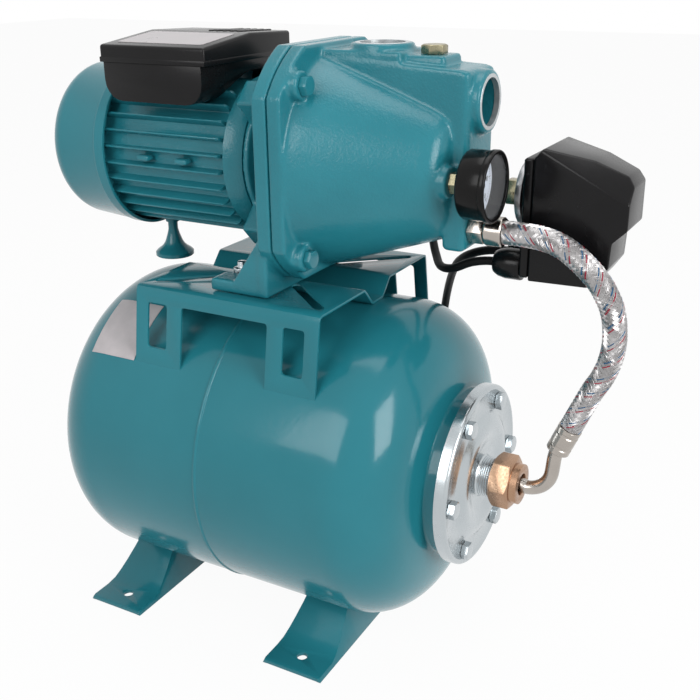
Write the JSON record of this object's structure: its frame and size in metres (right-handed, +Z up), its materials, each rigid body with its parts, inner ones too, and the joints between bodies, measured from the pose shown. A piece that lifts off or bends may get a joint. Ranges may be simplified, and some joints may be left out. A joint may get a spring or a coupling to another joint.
{
  "type": "booster pump set",
  "caption": "Teal booster set: a self-priming electric pump on a horizontal pressure tank, with pressure switch, gauge and braided hose.",
  "frame": {"origin": "on the floor, under the middle of the set's length and width, cords left out", "axes": "+X along the shaft towards the suction port, +Y to the rear, away from the terminal box's front, +Z up"},
  "size_m": [0.492, 0.4186, 0.5047],
  "materials": {
    "teal_paint": "gloss",
    "black_plastic": "satin",
    "black_rubber": "matt",
    "zinc_plate": "satin",
    "brass": "satin",
    "nickel": "gloss",
    "steel": "satin",
    "braid": "woven",
    "copper": "varnished",
    "white_dial": "matt",
    "clear_lens": "clear",
    "grey_plastic": "matt"
  },
  "bodies": {
    "set": {"tank_shell": "teal_paint", "tank_membrane": "black_rubber", "tank_flange": "zinc_plate", "flange_bolt_1": "zinc_plate", "flange_bolt_2": "zinc_plate", "flange_bolt_3": "zinc_plate", "flange_bolt_4": "zinc_plate", "flange_bolt_5": "zinc_plate", "flange_bolt_6": "zinc_plate", "tank_foot_left": "teal_paint", "tank_foot_right": "teal_paint", "pump_platform": "teal_paint", "air_valve": "brass", "motor_frame": "teal_paint", "stator": "copper", "bearing_front": "steel", "bearing_rear": "steel", "motor_end_shield": "teal_paint", "fan_cover": "teal_paint", "motor_bracket": "teal_paint", "pump_casing": "teal_paint", "diffuser": "grey_plastic", "ejector_nozzle": "brass", "casing_bolt_1": "teal_paint", "casing_bolt_2": "teal_paint", "casing_bolt_3": "teal_paint", "casing_bolt_4": "teal_paint", "foot_bolt_1": "zinc_plate", "foot_bolt_2": "zinc_plate", "terminal_box_base": "black_plastic", "terminal_box_lid": "black_plastic", "capacitor": "grey_plastic", "support_foot": "teal_paint", "gauge_case": "black_plastic", "gauge_dial": "white_dial", "gauge_lens": "clear_lens", "gauge_stem": "brass", "switch_nipple": "brass", "switch_diaphragm": "zinc_plate", "switch_base": "black_plastic", "switch_cover": "black_plastic", "switch_spring": "steel", "switch_gland_1": "black_plastic", "switch_gland_2": "black_plastic", "motor_lead": "black_rubber", "mains_lead": "black_rubber", "mains_coil": "black_rubber", "mains_plug": "black_rubber", "hose_nipple": "nickel", "braided_hose": "braid", "hose_elbow": "nickel", "hose_union_nut": "brass"},
    "rotor": {"motor_rotor": "steel", "impeller": "brass", "cooling_fan": "black_plastic", "shaft_seal": "black_rubber"},
    "filler_plug": {"filler_plug": "brass"},
    "air_valve_cap": {"air_valve_cap": "black_plastic"},
    "gauge_needle": {"gauge_needle": "black_plastic"},
    "switch_lever": {"switch_lever": "steel"}
  },
  "joints": [
    {"name": "shaft_turn", "type": "hinge", "parent": "set", "child": "rotor", "pos_m": [0, 0, 0.4102], "axis": [1, 0, 0], "continuous": true},
    {"name": "needle_turn", "type": "hinge", "parent": "set", "child": "gauge_needle", "pos_m": [0.14205, -0.035, 0.4088], "axis": [-1, 0, 0], "range_deg": [0, 270]},
    {"name": "lever_tilt", "type": "hinge", "parent": "set", "child": "switch_lever", "pos_m": [0.18055, 0.036, 0.3645], "axis": [0, 1, 0], "range_deg": [0, 3], "stiffness_Nm_per_rad": 2, "deforming": ["switch_spring"]},
    {"name": "filler_plug_lift", "type": "slide", "parent": "set", "child": "filler_plug", "axis": [0, 0, 1], "range_m": [0, 0.03]},
    {"name": "valve_cap_pull", "type": "slide", "parent": "set", "child": "air_valve_cap", "axis": [-1, 0, 0], "range_m": [0, 0.025]}
  ]
}
